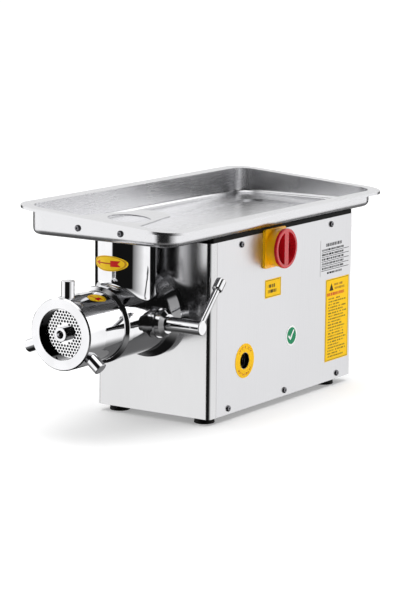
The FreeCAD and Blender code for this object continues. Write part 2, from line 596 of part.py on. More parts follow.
def make_gearbox():
    left, right = HEAD_X - CASE_HALF, HEAD_X + CASE_HALF
    outer = box(left, right, CASE_FRONT, CASE_BACK, CASE_BOTTOM, CASE_TOP)
    outer = outer.makeFillet(12.0, [e for e in outer.Edges if is_along_y(e)])
    front_wall = 8.0
    rooms = [(front_wall, 49.0), (57.0, CASE_BACK + 1)]
    inner = [box(left + CASE_WALL, right - CASE_WALL, y0, y1, CASE_BOTTOM + CASE_WALL,
                 CASE_TOP - CASE_WALL) for y0, y1 in rooms]
    inner = [room.makeFillet(8.0, [e for e in room.Edges if is_along_y(e)]) for room in inner]
    case = cut_all(outer, inner)
    lips = [sleeve_y(HEAD, 8.0, 19.0, 41.0, 35.0), sleeve_y(LAY, 8.0, 17.0, 26.0, 21.0)]
    sight_boss = rod(Vector(right - 1, SIGHT_Y, SIGHT_Z), X_AXIS, 19.0, 90 - right + 1)
    feet = [box(left, right, CASE_FRONT, 16.0, 11.5, CASE_BOTTOM + 2),
            box(left, right, 105.0, CASE_BACK, 11.5, CASE_BOTTOM + 2)]
    case = fused([case, sight_boss] + lips + feet)
    case = case.cut(along_y(HEAD, 0, 8, 24.0)).cut(along_y(HEAD, 40, 60, 26.0))
    case = case.cut(along_y(LAY, 45, 60, 18.0)).cut(along_y(LAY, 5, 9, 21.0))
    case = case.cut(rod(Vector(right - 8, SIGHT_Y, SIGHT_Z), X_AXIS, 12.0, 60))
    case = cut_all(case, [along_y(p, 0, 10, 4.0) for p in stud_points()])
    add("gearbox_case", case)

    add("oil_sight_ring", ring(Vector(90, SIGHT_Y, SIGHT_Z), X_AXIS, 15.5, 9.5, 4.5))
    add("oil_sight_glass", rod(Vector(86.0, SIGHT_Y, SIGHT_Z), X_AXIS, 11.9, 4.0))

    cover = box(left, right, CASE_BACK, CASE_BACK + 6, CASE_BOTTOM, CASE_TOP)
    cover = cover.makeFillet(12.0, [e for e in cover.Edges if is_along_y(e)])
    lay_seat = sleeve_y(LAY, 112.0, CASE_BACK, 26.0, 21.0)
    cover = fused([cover, lay_seat]).cut(along_y(HEAD, 120, 140, 22.0))
    bolts = []
    for x in (left + 10, right - 10):
        for z in (CASE_BOTTOM + 10, CASE_TOP - 10):
            bolts.append(along_y(Vector(x, 0, z), CASE_BACK - 14, CASE_BACK + 10, 3.0))
    add("gearbox_cover", cut_all(cover, bolts))
    motor_front, motor_back = CASE_BACK + 6.0, MOTOR_BACK
    add("shaft_bearings", sleeve_y(HEAD, 8.0, 18.0, 35.0, OUTPUT_R + RUNNING),
        sleeve_y(HEAD, 49.0, 57.0, 26.0, OUTPUT_R + RUNNING),
        sleeve_y(LAY, 5.0, 17.0, 21.0, LAY_R + RUNNING),
        sleeve_y(LAY, 114.0, CASE_BACK, 21.0, LAY_R + RUNNING),
        sleeve_y(HEAD, motor_front + 2, motor_front + 16, 22.0, MOTOR_SHAFT_R + RUNNING),
        sleeve_y(HEAD, motor_back, motor_back + 12, 22.0, MOTOR_SHAFT_R + RUNNING))
    add("shaft_seal", sleeve_y(HEAD, 1.5, 8.0, 24.0, OUTPUT_R + RUNNING))

    slot = box(HEAD_X - 6.1, HEAD_X + 6.1, -5, 9.5, HEAD_Z - 14.1, HEAD_Z + 14.1)
    add("output_shaft", along_y(HEAD, -1.5, 56.5, OUTPUT_R).cut(slot))
    half_output = 180.0 / OUTPUT_TEETH
    add("output_gear", gear(OUTPUT_TEETH, HEAD, 22, 46, OUTPUT_R, -90 + half_output))
    pinion = gear(PINION_TEETH, LAY, 20, 48, 0, 90)
    add("layshaft", fused([along_y(LAY, 7.0, 125.0, LAY_R), pinion]))
    half_lay = 180.0 / LAY_TEETH
    add("layshaft_gear", gear(LAY_TEETH, LAY, 66, 84, LAY_R, 90 + half_lay))
    add("motor_pinion", gear(MOTOR_TEETH, HEAD, 64, 86, MOTOR_SHAFT_R, -90))


def is_along_y(edge):
    return abs(edge.tangentAt(edge.FirstParameter).y) > 0.999


# ---- motor --------------------------------------------------------------------------
def make_motor():
    front, back = CASE_BACK + 6.0, MOTOR_BACK
    frame_r, bore_r = 68.0, 62.0
    front_bell = turned([(22.0, front), (64.0, front), (70.0, front + 12), (70.0, front + 18),
                         (bore_r, front + 18), (bore_r, front + 14), (40.0, front + 8),
                         (22.0, front + 8)])
    seat = sleeve_y(HEAD, front + 8, front + 20, 28.0, 22.0)
    add("motor_front_bell", fused([front_bell, seat]))
    frame = sleeve_y(HEAD, front + 18, back, frame_r, bore_r)
    fins = []
    fin_count, fin_tip, fin_half = 24, 76.0, 1.5
    for i in range(fin_count):
        fin = box(HEAD_X - fin_half, HEAD_X + fin_half, front + 22, back - 4,
                  HEAD_Z + frame_r - 1, HEAD_Z + fin_tip)
        fin.rotate(HEAD, Y_AXIS, 360.0 * i / fin_count)
        fins.append(fin)
    add("motor_frame", fused([frame] + fins))
    rear_bell = turned([(22.0, back), (frame_r, back), (70.5, back + 2), (70.5, back + 12),
                        (22.0, back + 12)])
    add("motor_rear_bell", rear_bell)
    stator = sleeve_y(HEAD, 178.0, 272.0, bore_r, 42.0)
    coils = [turned([(46.0, y0), (58.0, y0), (60.0, y0 + 9), (58.0, y0 + 18), (46.0, y0 + 18),
                     (44.0, y0 + 9)]) for y0 in (159.5, 272.5)]
    add("stator", stator)
    add("stator_windings", *coils)
    add("motor_shaft", along_y(HEAD, 62.0, 345.0, MOTOR_SHAFT_R))
    add("rotor", sleeve_y(HEAD, 178.0, 272.0, 41.5, MOTOR_SHAFT_R))
    hub = sleeve_y(HEAD, 322.0, 342.0, 20.0, MOTOR_SHAFT_R)
    disc = sleeve_y(HEAD, 322.0, 325.0, 58.0, 19.0)
    blades = []
    blade_count = 8
    for i in range(blade_count):
        blade = box(HEAD_X - 1.25, HEAD_X + 1.25, 324.0, 340.0, HEAD_Z + 19, HEAD_Z + 57)
        blade.rotate(HEAD, Y_AXIS, 360.0 * i / blade_count)
        blades.append(blade)
    add("cooling_fan", fused([hub, disc] + blades))
    cowl = turned([(70.5, back + 6), (72.0, back + 6), (72.0, 352.0), (66.0, 356.0),
                   (66.0, 354.5), (70.5, 351.0)])
    grille = sleeve_y(HEAD, 354.5, 356.0, 66.0, 12.0)
    openings = []
    for row in range(3):
        for i in range(12):
            hole = along_y(HEAD + Z_AXIS * (24 + 14 * row), 350, 360, 4.5)
            hole.rotate(HEAD, Y_AXIS, 30.0 * i + 15.0 * row)
            openings.append(hole)
    add("fan_cowl", fused([cowl, cut_all(grille, openings)]))
    box_bottom = HEAD_Z + fin_tip
    shell = box(HEAD_X - 35, HEAD_X + 35, 180, 262, box_bottom, 264)
    room = box(HEAD_X - 33, HEAD_X + 33, 182, 260, box_bottom + 2, 262)
    add("terminal_box", shell.cut(room))


def main():
    make_cabinet()
    make_gland()
    make_feet()
    make_switch()
    make_labels()
    make_feed_housing()
    make_barrel()
    make_ring_nut()
    make_hole_plate()
    make_auger()
    make_lever()
    make_tray()
    make_feed_guard()
    make_gearbox()
    make_motor()
    os.makedirs("parts", exist_ok=True)
    for name, shape in pieces.items():
        moved = shape.copy()
        moved.translate(ORIGIN_SHIFT)
        if not moved.isValid():
            print("not valid:", name)
        moved.exportStep(f"parts/{name}.step")
    whole = Part.makeCompound(list(pieces.values()))
    print(len(pieces), "nodes, box", whole.BoundBox)


main()
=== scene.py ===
import math

import bpy
from mathutils import Matrix, Vector


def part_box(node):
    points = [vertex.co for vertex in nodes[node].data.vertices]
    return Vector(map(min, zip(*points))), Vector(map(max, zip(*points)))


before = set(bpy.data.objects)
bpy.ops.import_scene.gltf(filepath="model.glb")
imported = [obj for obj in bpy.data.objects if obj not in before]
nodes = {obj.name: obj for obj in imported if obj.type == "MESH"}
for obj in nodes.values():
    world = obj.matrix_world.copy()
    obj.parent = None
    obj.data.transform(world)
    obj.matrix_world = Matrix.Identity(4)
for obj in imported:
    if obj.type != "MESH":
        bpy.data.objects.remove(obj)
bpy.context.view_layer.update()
MM = 0.001


# ---- places taken from the frame ----------------------------------------------------
def middle(node):
    low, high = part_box(node)
    return (Vector(low) + Vector(high)) / 2


HEAD = middle("ring_nut")            # on the auger's axis
CABINET_LOW, CABINET_HIGH = (Vector(c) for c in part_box("front_shell"))
CABINET_MIDDLE = (CABINET_LOW.x + CABINET_HIGH.x) / 2


# ---- colours and nodes --------------------------------------------------------------
def colour(code):
    """Linear colour of an sRGB hex code."""
    parts = [int(code[i:i + 2], 16) / 255 for i in (0, 2, 4)]
    return [c / 12.92 if c < 0.04045 else ((c + 0.055) / 1.055) ** 2.4 for c in parts] + [1.0]


def add_node(tree, kind, links=(), **settings):
    """Adds a node; links are (input name or number, output socket or value)."""
    made = tree.nodes.new(kind)
    for key, value in settings.items():
        setattr(made, key, value)
    for socket, source in links:
        if isinstance(source, bpy.types.NodeSocket):
            tree.links.new(source, made.inputs[socket])
        else:
            made.inputs[socket].default_value = source
    return made


def new_material(name, **values):
    """A material with a Principled shader whose constant sockets are set directly."""
    material = bpy.data.materials.new(name)
    material.use_nodes = True
    tree = material.node_tree
    shader = tree.nodes["Principled BSDF"]
    for key, value in values.items():
        shader.inputs[key.replace("_", " ")].default_value = value
    return material, tree, shader


def pattern(tree, scale):
    """Object coordinates, scaled; a small scale on one axis draws the pattern out along it."""
    place = add_node(tree, "ShaderNodeTexCoord").outputs["Object"]
    return add_node(tree, "ShaderNodeMapping", [("Vector", place), ("Scale", scale)]).outputs["Vector"]


def ramp(tree, source, low, high, low_at=0.0, high_at=1.0):
    """Maps a value to a range, or to a colour range when low and high are colours."""
    if isinstance(low, (int, float)):
        return add_node(tree, "ShaderNodeMapRange",
                        [(0, source), (1, low_at), (2, high_at), (3, low), (4, high)]).outputs[0]
    made = add_node(tree, "ShaderNodeValToRGB", [(0, source)])
    first, last = made.color_ramp.elements
    first.position, first.color = low_at, low
    last.position, last.color = high_at, high
    return made.outputs["Color"]


def rolled_sheet(name, tone, rough, brush, depth=0.01, spread=0.05):
    """Stainless sheet: brush is the pattern scale, small along the rolling direction.
    Grit lines are about 0.05 mm apart on the real sheet; they are drawn about ten times
    coarser here, so that they show."""
    material, tree, shader = new_material(name, Metallic=1.0)
    lines = add_node(tree, "ShaderNodeTexNoise", [("Vector", pattern(tree, brush)), ("Scale", 1.0),
                                                  ("Detail", 3.0)]).outputs[0]
    cloud = add_node(tree, "ShaderNodeTexNoise", [("Vector", pattern(tree, (9, 9, 9))),
                                                  ("Scale", 1.0), ("Detail", 2.0)]).outputs[0]
    mixed = add_node(tree, "ShaderNodeMath", [(0, lines), (1, cloud)], operation="MULTIPLY")
    light = [c * (1 + spread * 0.5) for c in colour(tone)[:3]] + [1]
    dark = [c * (1 - spread) for c in colour(tone)[:3]] + [1]
    tree.links.new(ramp(tree, mixed.outputs[0], dark, light, 0.1, 0.45), shader.inputs["Base Color"])
    tree.links.new(ramp(tree, mixed.outputs[0], rough * 0.85, rough * 1.2, 0.1, 0.45),
                   shader.inputs["Roughness"])
    bump = add_node(tree, "ShaderNodeBump", [("Height", lines), ("Strength", depth),
                                             ("Distance", 0.0002)])
    tree.links.new(bump.outputs[0], shader.inputs["Normal"])
    return material


def polished_casting(name, tone, rough):
    """Buffed stainless: a mirror with faint haze and a slightly uneven surface."""
    material, tree, shader = new_material(name, Metallic=1.0)
    haze = add_node(tree, "ShaderNodeTexNoise", [("Vector", pattern(tree, (30, 30, 30))),
                                                 ("Scale", 1.0), ("Detail", 4.0)]).outputs[0]
    light, dark = colour(tone), [c * 0.93 for c in colour(tone)[:3]] + [1]
    tree.links.new(ramp(tree, haze, dark, light, 0.35, 0.6), shader.inputs["Base Color"])
    tree.links.new(ramp(tree, haze, rough * 0.7, rough * 1.5, 0.35, 0.65), shader.inputs["Roughness"])
    return material


def moulded(name, tone, rough, grain=900.0, depth=0.05, coat=0.0, spread=0.12, shine=0.5):
    """Moulded plastic or rubber with a fine spark-eroded grain."""
    material, tree, shader = new_material(name, Roughness=rough, Coat_Weight=coat,
                                          Specular_IOR_Level=shine)
    speck = add_node(tree, "ShaderNodeTexNoise", [("Vector", pattern(tree, (grain,) * 3)),
                                                  ("Scale", 1.0), ("Detail", 2.0)]).outputs[0]
    cloud = add_node(tree, "ShaderNodeTexNoise", [("Vector", pattern(tree, (40, 40, 40))),
                                                  ("Scale", 1.0), ("Detail", 2.0)]).outputs[0]
    light, dark = colour(tone), [c * (1 - spread) for c in colour(tone)[:3]] + [1]
    tree.links.new(ramp(tree, cloud, dark, light, 0.35, 0.6), shader.inputs["Base Color"])
    bump = add_node(tree, "ShaderNodeBump", [("Height", speck), ("Strength", depth),
                                             ("Distance", 0.0002)])
    tree.links.new(bump.outputs[0], shader.inputs["Normal"])
    return material


def painted_casting(name, tone, rough):
    """Sand-cast metal under paint: a coarse orange-peel surface."""
    return moulded(name, tone, rough, grain=260.0, depth=0.35)


def painted_bore_shade(material, reach):
    """Paints shade into the bore of a buffed part: a dark grey base colour inside the given radius."""
    tree = material.node_tree
    shader = tree.nodes["Principled BSDF"]
    place = add_node(tree, "ShaderNodeTexCoord").outputs["Object"]
    flat = add_node(tree, "ShaderNodeMapping", [("Vector", place), ("Location", (-HEAD.x, 0, -HEAD.z)),
                                                ("Scale", (1, 0, 1))]).outputs[0]
    radius = add_node(tree, "ShaderNodeVectorMath", [(0, flat)], operation="LENGTH").outputs["Value"]
    inside = add_node(tree, "ShaderNodeMath", [(0, radius), (1, reach)], operation="LESS_THAN").outputs[0]
    under = shader.inputs["Base Color"].links[0].from_socket
    # Painted shade: dark grey replaces the base colour inside the bore.
    mixer = add_node(tree, "ShaderNodeMix", [(0, inside), (6, under), (7, colour("2B2B2D"))],
                     data_type="RGBA")
    tree.links.new(mixer.outputs[2], shader.inputs["Base Color"])
    return material


def either(tree, masks):
    """Joins masks: 1 where any of them is 1."""
    joined = masks[0]
    for mask in masks[1:]:
        joined = add_node(tree, "ShaderNodeMath", [(0, joined), (1, mask)],
                          operation="MAXIMUM").outputs[0]
    return joined


def both(tree, first, second):
    """Mask where two masks meet; a number as the second one scales the first."""
    return add_node(tree, "ShaderNodeMath", [(0, first), (1, second)], operation="MULTIPLY").outputs[0]


def near(tree, value, centre, reach):
    """1 where the value lies within reach of the centre."""
    return add_node(tree, "ShaderNodeMath", [(0, value), (1, centre), (2, reach)],
                    operation="COMPARE").outputs[0]


def bar(tree, across, up, low, high, bottom, top):
    """Mask of a printed rectangle, in metres."""
    return both(tree, near(tree, across, (low + high) / 2, (high - low) / 2),
                near(tree, up, (bottom + top) / 2, (top - bottom) / 2))


def offsets(tree, across, across_at, up, up_at):
    """Distances from a label's centre along its two directions, and both as one vector."""
    away = [add_node(tree, "ShaderNodeMath", [(0, value), (1, at)], operation="SUBTRACT").outputs[0]
            for value, at in ((across, across_at), (up, up_at))]
    return away[0], away[1], add_node(tree, "ShaderNodeCombineXYZ", [(0, away[0]), (1, away[1])]).outputs[0]


def print_axes(tree):
    """Places on the machine: its width, its length and its height."""
    place = add_node(tree, "ShaderNodeTexCoord").outputs["Object"]
    parts = add_node(tree, "ShaderNodeSeparateXYZ", [(0, place)])
    return parts.outputs


def type_lines(tree, across, up, low, high, bottom, top, pitch, seed=0.0, weight=0.45):
    """Small print that can't be read: rows of uneven ticks, pitch apart, with ragged ends."""
    row = add_node(tree, "ShaderNodeMath", [(0, up), (1, bottom)], operation="SUBTRACT").outputs[0]
    row = add_node(tree, "ShaderNodeMath", [(0, row), (1, 1 / pitch)], operation="MULTIPLY").outputs[0]
    number = add_node(tree, "ShaderNodeMath", [(0, row)], operation="FLOOR").outputs[0]
    inside = add_node(tree, "ShaderNodeMath", [(0, row)], operation="FRACT").outputs[0]
    line = near(tree, inside, 0.45, weight / 2)
    place = add_node(tree, "ShaderNodeCombineXYZ", [(0, across), (1, number)]).outputs[0]
    spot = add_node(tree, "ShaderNodeMapping", [("Vector", place), ("Scale", (640, 7.31, 1)),
                                                ("Location", (seed, seed, 0))]).outputs[0]
    ticks = add_node(tree, "ShaderNodeTexNoise", [("Vector", spot), ("Scale", 1.0), ("Detail", 0.0)],
                     noise_dimensions="2D").outputs[0]
    ink = add_node(tree, "ShaderNodeMath", [(0, ticks), (1, 0.43)], operation="GREATER_THAN").outputs[0]
    ends = add_node(tree, "ShaderNodeTexWhiteNoise", [("W", number)], noise_dimensions="1D").outputs[0]
    stop = ramp(tree, ends, low + (high - low) * 0.62, high)
    before = add_node(tree, "ShaderNodeMath", [(0, across), (1, stop)], operation="LESS_THAN").outputs[0]
    block = bar(tree, across, up, low, high, bottom, top)
    return both(tree, both(tree, line, ink), both(tree, block, before))


def printed(material, inks):
    """Lays inks, pairs of mask and colour, over a label's own colour."""
    tree = material.node_tree
    shader = tree.nodes["Principled BSDF"]
    under = shader.inputs["Base Color"].links[0].from_socket
    for mask, code in inks:
        mixer = add_node(tree, "ShaderNodeMix", [(0, mask), (6, under), (7, colour(code))],
                         data_type="RGBA")
        under = mixer.outputs[2]
    tree.links.new(under, shader.inputs["Base Color"])


# ---- materials ----------------------------------------------------------------------
SATIN_PANEL = rolled_sheet("satin 304 stainless panel, rolled upright", "DCDCDE", 0.33, (1100, 1100, 22))
SATIN_FRONT = rolled_sheet("satin 304 stainless front, rolled upright", "CFCFD0", 0.17, (1100, 1100, 22))
TRAY_SHEET = rolled_sheet("satin 304 stainless tray, deep drawn", "DCDCDE", 0.26, (900, 30, 900), 0.003,
                          spread=0.025)
POLISHED = polished_casting("buffed 316 stainless casting", "E4E4E6", 0.045)
# The ring nut's bore gets painted shade: a dark grey base colour inside 36.6 mm of the axis.
NUT_WITH_PAINTED_BORE_SHADE = painted_bore_shade(polished_casting("buffed stainless nut with painted shade in its bore", "E4E4E6", 0.05),
                        36.6 * MM)
POLISHED_FACE = polished_casting("buffed and faced stainless plate", "F0F0F1", 0.10)
MACHINED = rolled_sheet("turned carbon steel", "9A9A9C", 0.32, (500, 20, 500), 0.06)
SCREW_STEEL = polished_casting("blackened stainless button screw", "77777B", 0.08)
RUBBER = moulded("black nitrile rubber", "050505", 0.6, 500.0, 0.2, shine=0.15)
YELLOW_ABS = moulded("yellow gloss ABS", "FFBC08", 0.24, coat=0.2, spread=0.05)
RED_ABS = moulded("red gloss ABS", "C4101E", 0.24, coat=0.4)
BLACK_NYLON = moulded("black glass-filled nylon", "141415", 0.45, 700.0, 0.15)
FLOW_FILM = moulded("yellow vinyl arrow label", "FFD21C", 0.45, 1500.0, 0.02, spread=0.08, shine=0.2)
CAUTION_FILM = moulded("yellow vinyl caution label", "FFCC00", 0.45, 1500.0, 0.02, spread=0.03, shine=0.12)
GAUGE_FILM = moulded("yellow vinyl gauge label", "FFC800", 0.45, 1500.0, 0.02, spread=0.06, shine=0.12)
PRINTED_STEEL = rolled_sheet("clear film printed black on satin steel", "DCDCDE", 0.33, (1100, 1100, 22))
MARK_FILM = moulded("green and white vinyl label", "F8F9F8", 0.45, 1500.0, 0.02, spread=0.02, shine=0.15)
CAST_IRON = painted_casting("grey painted grey iron", "4A4E52", 0.5)
ALLOY = painted_casting("die-cast aluminium", "A5A7A9", 0.42)
BRONZE = rolled_sheet("sintered bronze", "B98A4A", 0.35, (400, 400, 400), 0.1)
COPPER = rolled_sheet("varnished copper winding", "A8542B", 0.35, (900, 60, 900), 0.4)
GLASS, _, _ = new_material("sight glass", Base_Color=colour("F4F6EE"), Roughness=0.03,
                           Transmission_Weight=1.0)


# ---- printed labels -----------------------------------------------------------------
def print_caution_labels():
    """Small plain two-line label, and a tall one with a heading and fine print."""
    tree = CAUTION_FILM.node_tree
    _, across, up = print_axes(tree)
    (_, near_y, low_z), (_, far_y, high_z) = (tuple(c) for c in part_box("caution_labels"))
    inks = []
    small_wide, small_high, tall_wide, tall_high = 45.4 * MM, 28 * MM, 70.8 * MM, 131 * MM
    small = (near_y, near_y + small_wide, high_z - small_high, high_z)
    tall = (far_y - tall_wide, far_y, low_z, low_z + tall_high)
    for left, right, bottom, top in (small, tall):
        outer = bar(tree, across, up, left + 1.0 * MM, right - 1.0 * MM, bottom + 1.0 * MM, top - 1.0 * MM)
        inner = bar(tree, across, up, left + 2.4 * MM, right - 2.4 * MM, bottom + 2.2 * MM, top - 2.2 * MM)
        frame_line = add_node(tree, "ShaderNodeMath", [(0, outer), (1, inner)],
                              operation="SUBTRACT").outputs[0]
        inks.append((frame_line, "A98C12"))
    left, right, bottom, top = small
    inks.append((type_lines(tree, across, up, left + 8 * MM, right - 8 * MM, bottom + 6 * MM,
                            bottom + 22 * MM, 8 * MM, 3.0, 0.62), "5A4A12"))
    left, right, bottom, top = tall
    inks.append((type_lines(tree, across, up, left + 8 * MM, right - 5 * MM, bottom + 5 * MM,
                            top - 29 * MM, 4.6 * MM, 9.0, 0.5), "8D7210"))
    inks.append((type_lines(tree, across, up, left + 4 * MM, right - 4 * MM, top - 27.5 * MM,
                            top - 21 * MM, 6.5 * MM, 21.0, 0.75), "D0501C"))
    inks.append((type_lines(tree, across, up, left + 26 * MM, right - 8 * MM, top - 19 * MM,
                            top - 7 * MM, 6 * MM, 31.0, 0.6), "A8761A"))
    # A plain dark triangle beside the heading.
    apex, foot, centre = top - 7 * MM, top - 19 * MM, left + 17 * MM
    drop = add_node(tree, "ShaderNodeMath", [(0, apex), (1, up)], operation="SUBTRACT").outputs[0]
    half = add_node(tree, "ShaderNodeMath", [(0, drop), (1, 0.55)], operation="MULTIPLY").outputs[0]
    triangle = both(tree, near(tree, across, centre, half),
                    near(tree, up, (apex + foot) / 2, (apex - foot) / 2))
    inks.append((triangle, "3A2E0C"))
    printed(CAUTION_FILM, inks)


def print_rating_label():
    """Black print straight on the steel: a heading, ruled lines and rows between them."""
    tree = PRINTED_STEEL.node_tree
    _, across, up = print_axes(tree)
    (_, left, bottom), (_, right, top) = (tuple(c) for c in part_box("rating_label"))
    masks = [type_lines(tree, across, up, left + 16 * MM, right - 16 * MM, top - 13 * MM, top - 3 * MM,
                        10 * MM, 5.0, 0.5)]
    rows, row_pitch, first_row = 5, 7.2 * MM, 8 * MM
    for row in range(rows):
        at = bottom + first_row + row_pitch * row
        masks.append(bar(tree, across, up, left + 3 * MM, right - 3 * MM, at - 0.45 * MM, at + 0.45 * MM))
        masks.append(type_lines(tree, across, up, left + 4 * MM, right - 7 * MM, at + 1.2 * MM, at + 6.4 * MM,
                                5.2 * MM, 11.0 + 7 * row, 0.6))
    masks.append(type_lines(tree, across, up, left + 20 * MM, right - 16 * MM, bottom + 0.5 * MM,
                            bottom + 6.5 * MM, 6 * MM, 57.0, 0.5))
    printed(PRINTED_STEEL, [(either(tree, masks), "1C1C1E")])
    # The film's cut edges are clear plastic, and not a mirror like the steel.
    inside = near(tree, across, (left + right) / 2, (right - left) / 2 - 0.2 * MM)
    tree.links.new(inside, tree.nodes["Principled BSDF"].inputs["Metallic"])


def print_mark_label():
    """White disc with a green field and a plain white tick."""
    tree = MARK_FILM.node_tree
    _, across, up = print_axes(tree)
    centre = middle("mark_label")
    _, _, plan = offsets(tree, across, centre.y, up, centre.z)
    far = add_node(tree, "ShaderNodeVectorMath", [(0, plan)], operation="LENGTH").outputs["Value"]
    disc = add_node(tree, "ShaderNodeMath", [(0, far), (1, 13 * MM)], operation="LESS_THAN").outputs[0]
    # The tick's two strokes meet at the elbow; each has its angle, its start and its end.
    elbow, half_stroke = (-3.0 * MM, -4.5 * MM), 1.6 * MM
    from_elbow = add_node(tree, "ShaderNodeMapping",
                          [("Vector", plan), ("Location", (-elbow[0], -elbow[1], 0))]).outputs[0]
    strokes = []
    for turn, low, high in ((-42, -7.5 * MM, 1.2 * MM), (52, -1.2 * MM, 16.0 * MM)):
        turned = add_node(tree, "ShaderNodeVectorRotate",
                          [("Vector", from_elbow), ("Angle", math.radians(-turn))],
                          rotation_type="Z_AXIS").outputs[0]
        parts = add_node(tree, "ShaderNodeSeparateXYZ", [(0, turned)]).outputs
        strokes.append(bar(tree, parts[0], parts[1], low, high, -half_stroke, half_stroke))
    printed(MARK_FILM, [(disc, "1B8A5C"), (either(tree, strokes), "F4F5F4")])


def print_gauge_label():
    """A ring of small brown print round the sight glass, with gaps at both sides."""
    tree = GAUGE_FILM.node_tree
    _, across, up = print_axes(tree)
    centre = middle("oil_label")
    _, rise, plan = offsets(tree, across, centre.y, up, centre.z)
    far = add_node(tree, "ShaderNodeVectorMath", [(0, plan)], operation="LENGTH").outputs["Value"]
    ticks = add_node(tree, "ShaderNodeTexNoise", [("Vector", plan), ("Scale", 330.0), ("Detail", 0.0)],
                     noise_dimensions="2D").outputs[0]
    ink = add_node(tree, "ShaderNodeMath", [(0, ticks), (1, 0.52)], operation="GREATER_THAN").outputs[0]
    height = add_node(tree, "ShaderNodeMath", [(0, rise)], operation="ABSOLUTE").outputs[0]
    ends = add_node(tree, "ShaderNodeMath", [(0, height), (1, 12 * MM)], operation="GREATER_THAN").outputs[0]
    band = both(tree, near(tree, far, 20.5 * MM, 1.9 * MM), ends)
    printed(GAUGE_FILM, [(both(tree, band, ink), "C7761A")])


def print_flow_label():
    """Red arrow pointing towards the plate side, inside a thin dark line."""
    tree = FLOW_FILM.node_tree
    across, _, up = print_axes(tree)
    centre = middle("flow_label")
    across, up, plan = offsets(tree, across, centre.x, up, centre.z)
    half_wide, half_high = 28.5 * MM, 11.3 * MM
    scaled = add_node(tree, "ShaderNodeMapping",
                      [("Vector", plan), ("Scale", (1 / half_wide, 1 / half_high, 1))])
    far = add_node(tree, "ShaderNodeVectorMath", [(0, scaled.outputs[0])],
                   operation="LENGTH").outputs["Value"]
    line = near(tree, far, 0.90, 0.045)
    # The arrow's tip is at its left: the head widens to the right, and the flights are notched.
    shaft = bar(tree, across, up, -18 * MM, 6 * MM, -0.9 * MM, 0.9 * MM)
    slope = add_node(tree, "ShaderNodeMath", [(0, across), (1, 24 * MM)], operation="ADD").outputs[0]
    half = add_node(tree, "ShaderNodeMath", [(0, slope), (1, 0.42)], operation="MULTIPLY").outputs[0]
    head = both(tree, near(tree, up, 0.0, half), near(tree, across, -19.5 * MM, 4.5 * MM))
    flights = bar(tree, across, up, 4 * MM, 19 * MM, -4.4 * MM, 4.4 * MM)
    size = add_node(tree, "ShaderNodeMath", [(0, up)], operation="ABSOLUTE").outputs[0]
    notch = add_node(tree, "ShaderNodeMath", [(0, size), (1, 15.2 * MM)], operation="ADD").outputs[0]
    kept = add_node(tree, "ShaderNodeMath", [(0, across), (1, notch)], operation="LESS_THAN").outputs[0]
    printed(FLOW_FILM, [(line, "C8921A"), (shaft, "B8401C"), (head, "D8602A"),
                        (both(tree, flights, kept), "CF1F1C")])


print_caution_labels()
print_rating_label()
print_mark_label()
print_gauge_label()
print_flow_label()


# ---- finishes -----------------------------------------------------------------------
FINISHES = {
    SATIN_FRONT: ["front_shell"],
    SATIN_PANEL: ["top_panel", "right_side_panel", "left_side_panel", "rear_panel", "base_plate"],
    TRAY_SHEET: ["tray", "feed_guard"],
    POLISHED: ["feed_housing", "barrel", "ring_nut_lugs", "auger", "auger_stud",
               "clamp_screw", "lever_arm", "lever_knob"],
    NUT_WITH_PAINTED_BORE_SHADE: ["ring_nut"],
    POLISHED_FACE: ["hole_plate"],
    MACHINED: ["foot_screws", "switch_shaft", "housing_studs", "plate_key", "knife",
               "oil_sight_ring", "shaft_bearings", "output_shaft", "output_gear", "layshaft",
               "layshaft_gear", "motor_pinion", "stator", "motor_shaft", "rotor"],
    SCREW_STEEL: ["panel_screws", "guard_screws"],
    RUBBER: ["feet", "tray_seat_strips", "shaft_seal"],
    YELLOW_ABS: ["switch_plate", "switch_collar"],
    RED_ABS: ["switch_knob"],
    BLACK_NYLON: ["switch_contact_block", "cable_gland", "cooling_fan", "fan_cowl", "terminal_box"],
    CAUTION_FILM: ["caution_labels"],
    GAUGE_FILM: ["oil_label"],
    FLOW_FILM: ["flow_label"],
    PRINTED_STEEL: ["rating_label"],
    MARK_FILM: ["mark_label"],
    CAST_IRON: ["gearbox_case", "gearbox_cover"],
    ALLOY: ["motor_front_bell", "motor_frame", "motor_rear_bell"],
    BRONZE: ["barrel_bush", "clamp_pad"],
    COPPER: ["stator_windings"],
    GLASS: ["oil_sight_glass"],
}
for finish, names in FINISHES.items():
    for node_name in names:
        mesh = nodes[node_name].data
        mesh.materials.clear()
        mesh.materials.append(finish)


# ---- camera -------------------------------------------------------------------------
CAMERA_TURN, CAMERA_RISE, CAMERA_ROLL = 33.41, 10.13, 0.52      # degrees
CAMERA_STAND = Vector((CABINET_MIDDLE + 1.94493, CABINET_LOW.y - 2.82239, 0.79001))
LENS, SENSOR, FARTHEST = 142.15, 36, 100


def set_camera():
    """Looks down on the machine from the front right."""
    turn, rise, roll = (math.radians(angle) for angle in (CAMERA_TURN, CAMERA_RISE, CAMERA_ROLL))
    back = Vector((math.sin(turn) * math.cos(rise), -math.cos(turn) * math.cos(rise), math.sin(rise)))
    right = Vector((math.cos(turn), math.sin(turn), 0))
    up = back.cross(right)
    right, up = (right * math.cos(roll) + up * math.sin(roll),
                 up * math.cos(roll) - right * math.sin(roll))
    data = bpy.data.cameras.new("camera")
    data.lens, data.sensor_width, data.clip_end = LENS, SENSOR, FARTHEST
    camera = bpy.data.objects.new("camera", data)
    bpy.context.scene.collection.objects.link(camera)
    camera.matrix_world = Matrix((
        (right.x, up.x, back.x, CAMERA_STAND.x),
        (right.y, up.y, back.y, CAMERA_STAND.y),
        (right.z, up.z, back.z, CAMERA_STAND.z),
        (0, 0, 0, 1)))
    bpy.context.scene.camera = camera


